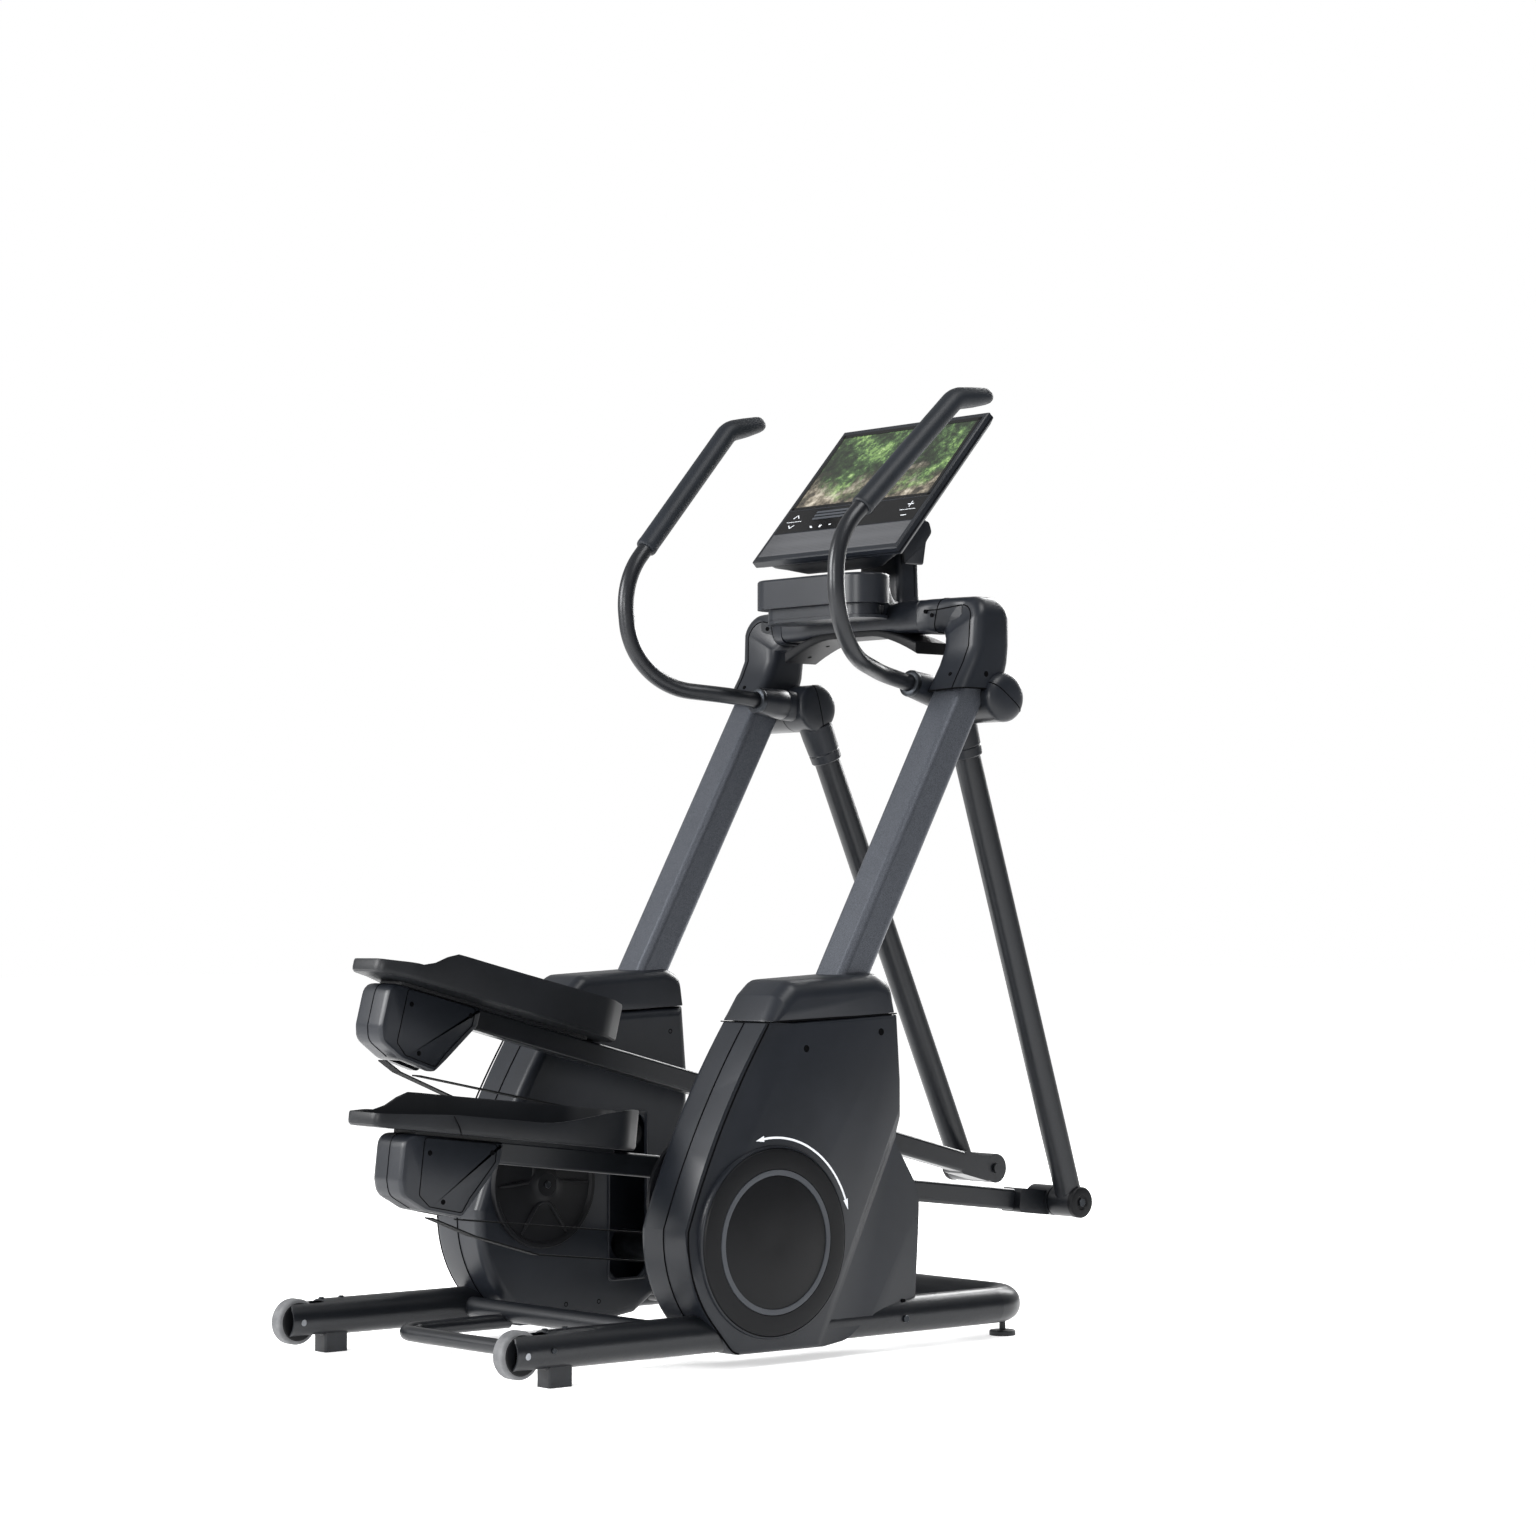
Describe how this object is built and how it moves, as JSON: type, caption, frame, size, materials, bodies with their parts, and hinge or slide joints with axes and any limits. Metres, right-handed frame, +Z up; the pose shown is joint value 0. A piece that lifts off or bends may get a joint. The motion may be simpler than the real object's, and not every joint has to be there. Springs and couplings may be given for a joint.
{
  "type": "elliptical trainer",
  "caption": "Free-stride elliptical trainer with leaning uprights, swing arms with curved grips, hung pedal arms, drive towers, tilting console and a U-shaped tube base.",
  "frame": {"origin": "on the floor, under the middle of the whole machine", "axes": "+X to the user's right, +Y forward towards the console, +Z up"},
  "size_m": [0.77, 1.7771, 1.8199],
  "materials": {
    "graphite_paint": "satin metallic",
    "black_paint": "satin",
    "steel": "satin",
    "cast_iron": "machined",
    "rubber": "matte",
    "wheel_rubber": "matte",
    "screen_glass": "gloss",
    "gloss_black": "gloss",
    "grey_mesh": "fine mesh",
    "ring_grey": "satin",
    "webbing": "woven",
    "pedal_plastic": "textured",
    "shell_plastic": "satin"
  },
  "bodies": {
    "frame": {"arch_plate": "shell_plastic", "arm_axles": "steel", "axle_pins": "steel", "base_tube": "black_paint", "console_bracket": "shell_plastic", "cross_tubes": "black_paint", "crossbeam": "black_paint", "crossbeam_cover": "shell_plastic", "cup_holder": "shell_plastic", "hub_caps": "shell_plastic", "left_knuckle_cover": "shell_plastic", "left_tower_inner_shell": "shell_plastic", "left_tower_outer_shell": "shell_plastic", "left_upright": "graphite_paint", "lift_handle": "black_paint", "mast": "shell_plastic", "rear_feet": "rubber", "right_knuckle_cover": "shell_plastic", "right_tower_inner_shell": "shell_plastic", "right_tower_outer_shell": "shell_plastic", "right_upright": "graphite_paint", "side_discs": "shell_plastic", "side_rings": "ring_grey", "tower_caps": "shell_plastic", "tray": "shell_plastic"},
    "right_arm": {"right_hub_sleeve": "shell_plastic", "right_leg_tube": "black_paint", "right_lower_pivot": "black_paint", "right_handle_tube": "black_paint", "right_grip": "rubber"},
    "right_pedal_arm": {"right_beam": "black_paint", "right_fork": "black_paint", "right_rear_housing": "shell_plastic", "right_pedal": "pedal_plastic", "right_strap": "webbing"},
    "right_pulley": {"right_strap_pulley": "shell_plastic"},
    "right_crank_disc": {"right_crank": "black_paint"},
    "right_transport_wheel": {"right_wheel": "wheel_rubber"},
    "right_levelling_foot": {"right_screw_foot": "rubber"},
    "left_arm": {"left_hub_sleeve": "shell_plastic", "left_leg_tube": "black_paint", "left_lower_pivot": "black_paint", "left_handle_tube": "black_paint", "left_grip": "rubber"},
    "left_pedal_arm": {"left_beam": "black_paint", "left_fork": "black_paint", "left_rear_housing": "shell_plastic", "left_pedal": "pedal_plastic", "left_strap": "webbing"},
    "left_pulley": {"left_strap_pulley": "shell_plastic"},
    "left_crank_disc": {"left_crank": "black_paint"},
    "left_transport_wheel": {"left_wheel": "wheel_rubber"},
    "left_levelling_foot": {"left_screw_foot": "rubber"},
    "drive_flywheel": {"flywheel": "cast_iron"},
    "incline_shaft": {"cross_shaft": "steel"},
    "console": {"console_bezel": "shell_plastic", "screen": "screen_glass", "control_panel": "gloss_black", "speaker_band": "grey_mesh", "console_rear_shell": "shell_plastic"}
  },
  "joints": [
    {"name": "right_arm_swing", "type": "hinge", "parent": "frame", "child": "right_arm", "pos_m": [0.22, 0.4294, 1.219], "axis": [1, 0, 0], "range_deg": [-20, 28], "deforming": ["right_strap", "left_strap"]},
    {"name": "left_arm_swing", "type": "hinge", "parent": "frame", "child": "left_arm", "pos_m": [-0.22, 0.4294, 1.219], "axis": [1, 0, 0], "range_deg": [-29, 21]},
    {"name": "right_pedal_pitch", "type": "hinge", "parent": "right_arm", "child": "right_pedal_arm", "pos_m": [0.14, 0.74751, 0.2341], "axis": [1, 0, 0], "range_deg": [-21.8, 15.86]},
    {"name": "left_pedal_pitch", "type": "hinge", "parent": "left_arm", "child": "left_pedal_arm", "pos_m": [-0.14, 0.85861, 0.27719], "axis": [1, 0, 0], "range_deg": [-15.86, 21.8]},
    {"name": "right_pulley_spin", "type": "hinge", "parent": "right_pedal_arm", "child": "right_pulley", "pos_m": [0.128, -0.74924, 0.34952], "axis": [1, 0, 0], "continuous": true},
    {"name": "left_pulley_spin", "type": "hinge", "parent": "left_pedal_arm", "child": "left_pulley", "pos_m": [-0.128, -0.60919, 0.59211], "axis": [1, 0, 0], "continuous": true},
    {"name": "flywheel_spin", "type": "hinge", "parent": "frame", "child": "drive_flywheel", "pos_m": [0.28, -0.1806, 0.221], "axis": [1, 0, 0], "continuous": true},
    {"name": "right_crank_spin", "type": "hinge", "parent": "frame", "child": "right_crank_disc", "pos_m": [0.236, -0.2306, 0.292], "axis": [1, 0, 0], "continuous": true},
    {"name": "left_crank_spin", "type": "hinge", "parent": "frame", "child": "left_crank_disc", "pos_m": [-0.236, -0.2306, 0.292], "axis": [1, 0, 0], "continuous": true},
    {"name": "incline_lift", "type": "slide", "parent": "frame", "child": "incline_shaft", "axis": [0, 0, 1], "range_m": [-0.03, 0.035]},
    {"name": "console_tilt", "type": "hinge", "parent": "frame", "child": "console", "pos_m": [0, 0.43791, 1.56115], "axis": [1, 0, 0], "range_deg": [-12, 4]},
    {"name": "right_wheel_roll", "type": "hinge", "parent": "frame", "child": "right_transport_wheel", "pos_m": [0.336, -0.7256, 0.06], "axis": [1, 0, 0], "continuous": true},
    {"name": "left_wheel_roll", "type": "hinge", "parent": "frame", "child": "left_transport_wheel", "pos_m": [-0.336, -0.7256, 0.06], "axis": [1, 0, 0], "continuous": true},
    {"name": "right_foot_level", "type": "slide", "parent": "frame", "child": "right_levelling_foot", "axis": [0, 0, 1], "range_m": [-0.008, 0]},
    {"name": "left_foot_level", "type": "slide", "parent": "frame", "child": "left_levelling_foot", "axis": [0, 0, 1], "range_m": [-0.008, 0]}
  ],
  "couplings": [
    {"joint": "left_arm_swing", "follows": "right_arm_swing", "ratio": -1},
    {"joint": "right_pedal_pitch", "follows": "right_arm_swing", "ratio": -0.743},
    {"joint": "left_pedal_pitch", "follows": "right_arm_swing", "ratio": 0.743},
    {"joint": "right_crank_spin", "follows": "flywheel_spin", "ratio": 0.2},
    {"joint": "left_crank_spin", "follows": "flywheel_spin", "ratio": 0.2}
  ]
}
